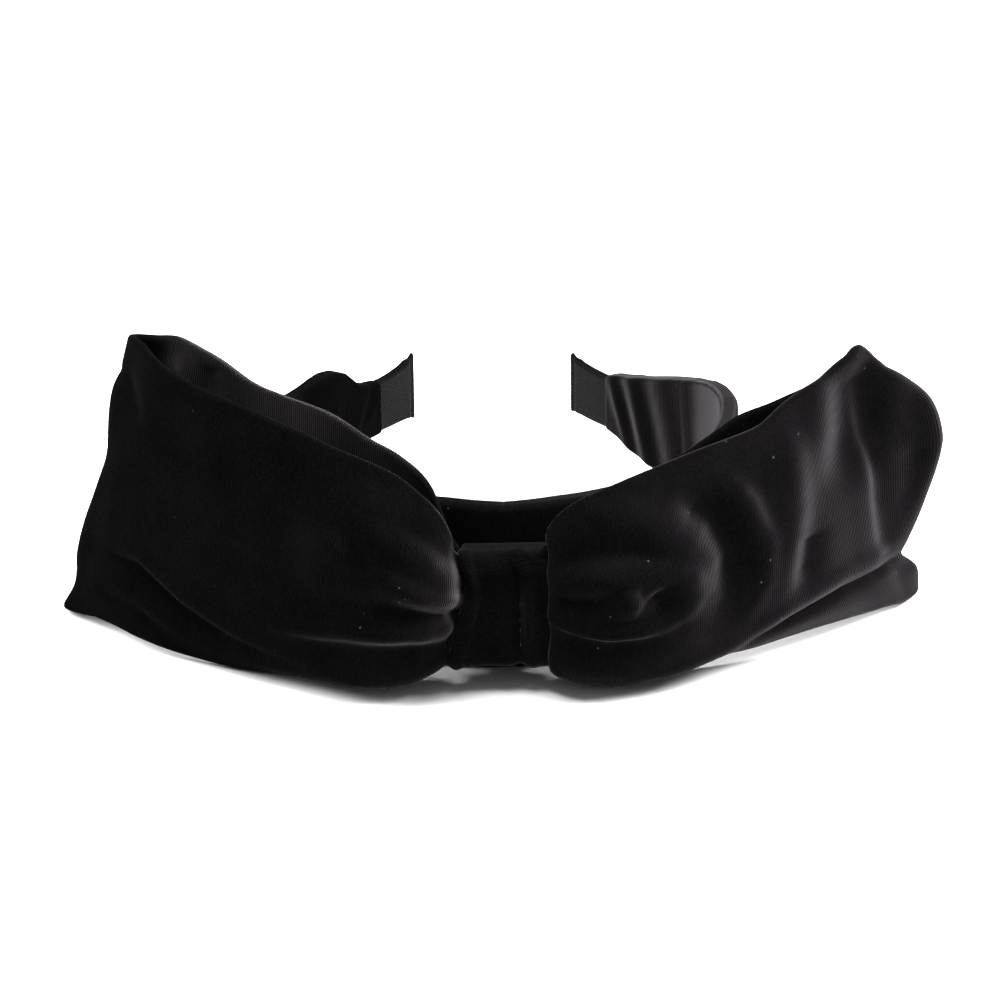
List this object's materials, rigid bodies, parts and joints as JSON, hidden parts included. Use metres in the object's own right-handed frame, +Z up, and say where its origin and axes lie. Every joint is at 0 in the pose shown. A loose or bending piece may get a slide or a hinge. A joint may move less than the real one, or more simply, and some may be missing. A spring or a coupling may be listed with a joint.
{
  "type": "headband",
  "caption": "C-shaped spring hair band in a black velvet sleeve, with ribbed ribbon tips and a large two-loop velvet bow under a wrapped knot.",
  "frame": {"origin": "middle of the head's place inside the band, 62.3 mm behind the crown's inner face, on the plane of the band's lower edge", "axes": "+X to the wearer's side through the right loop, +Y from the crown towards the tips, +Z up from the edge that the band lies on"},
  "size_m": [0.1916, 0.1401, 0.063],
  "materials": {
    "spring_strip": "moulded polypropylene, satin",
    "foam": "thin polyester foam sheet",
    "band_velvet": "black stretch velvet, short pile on a fine knitted wale",
    "bow_velvet": "black stretch velvet, short pile on a fine knitted wale",
    "knot_velvet": "black stretch velvet, pile up",
    "grosgrain": "black grosgrain ribbon, ribs along the arm",
    "interlining": "non-woven interlining",
    "thread": "twisted polyester thread",
    "hot_melt": "hot-melt adhesive"
  },
  "bodies": {
    "crown": {"core_crown": "spring_strip", "foam_crown": "foam", "sleeve_crown_left": "band_velvet", "sleeve_crown_right": "band_velvet", "bow_left_loop": "bow_velvet", "bow_right_loop": "bow_velvet", "left_loop_stiffener": "interlining", "right_loop_stiffener": "interlining", "waist_thread": "thread", "knot_wrap": "knot_velvet", "knot_stitches": "thread", "bow_glue_pad": "hot_melt"},
    "left_arm": {"core_left_arm": "spring_strip", "foam_left_arm": "foam", "sleeve_left_arm": "band_velvet", "left_tip_ribbon": "grosgrain"},
    "right_arm": {"core_right_arm": "spring_strip", "foam_right_arm": "foam", "sleeve_right_arm": "band_velvet", "right_tip_ribbon": "grosgrain"}
  },
  "joints": [
    {"name": "left_arm_flex", "type": "hinge", "parent": "crown", "child": "left_arm", "pos_m": [-0.03687, -0.04578, 0.019], "axis": [0, 0, 1], "range_deg": [-5, 20], "stiffness_Nm_per_rad": 0.9},
    {"name": "right_arm_flex", "type": "hinge", "parent": "crown", "child": "right_arm", "pos_m": [0.03687, -0.04578, 0.019], "axis": [0, 0, -1], "range_deg": [-5, 20], "stiffness_Nm_per_rad": 0.9}
  ]
}
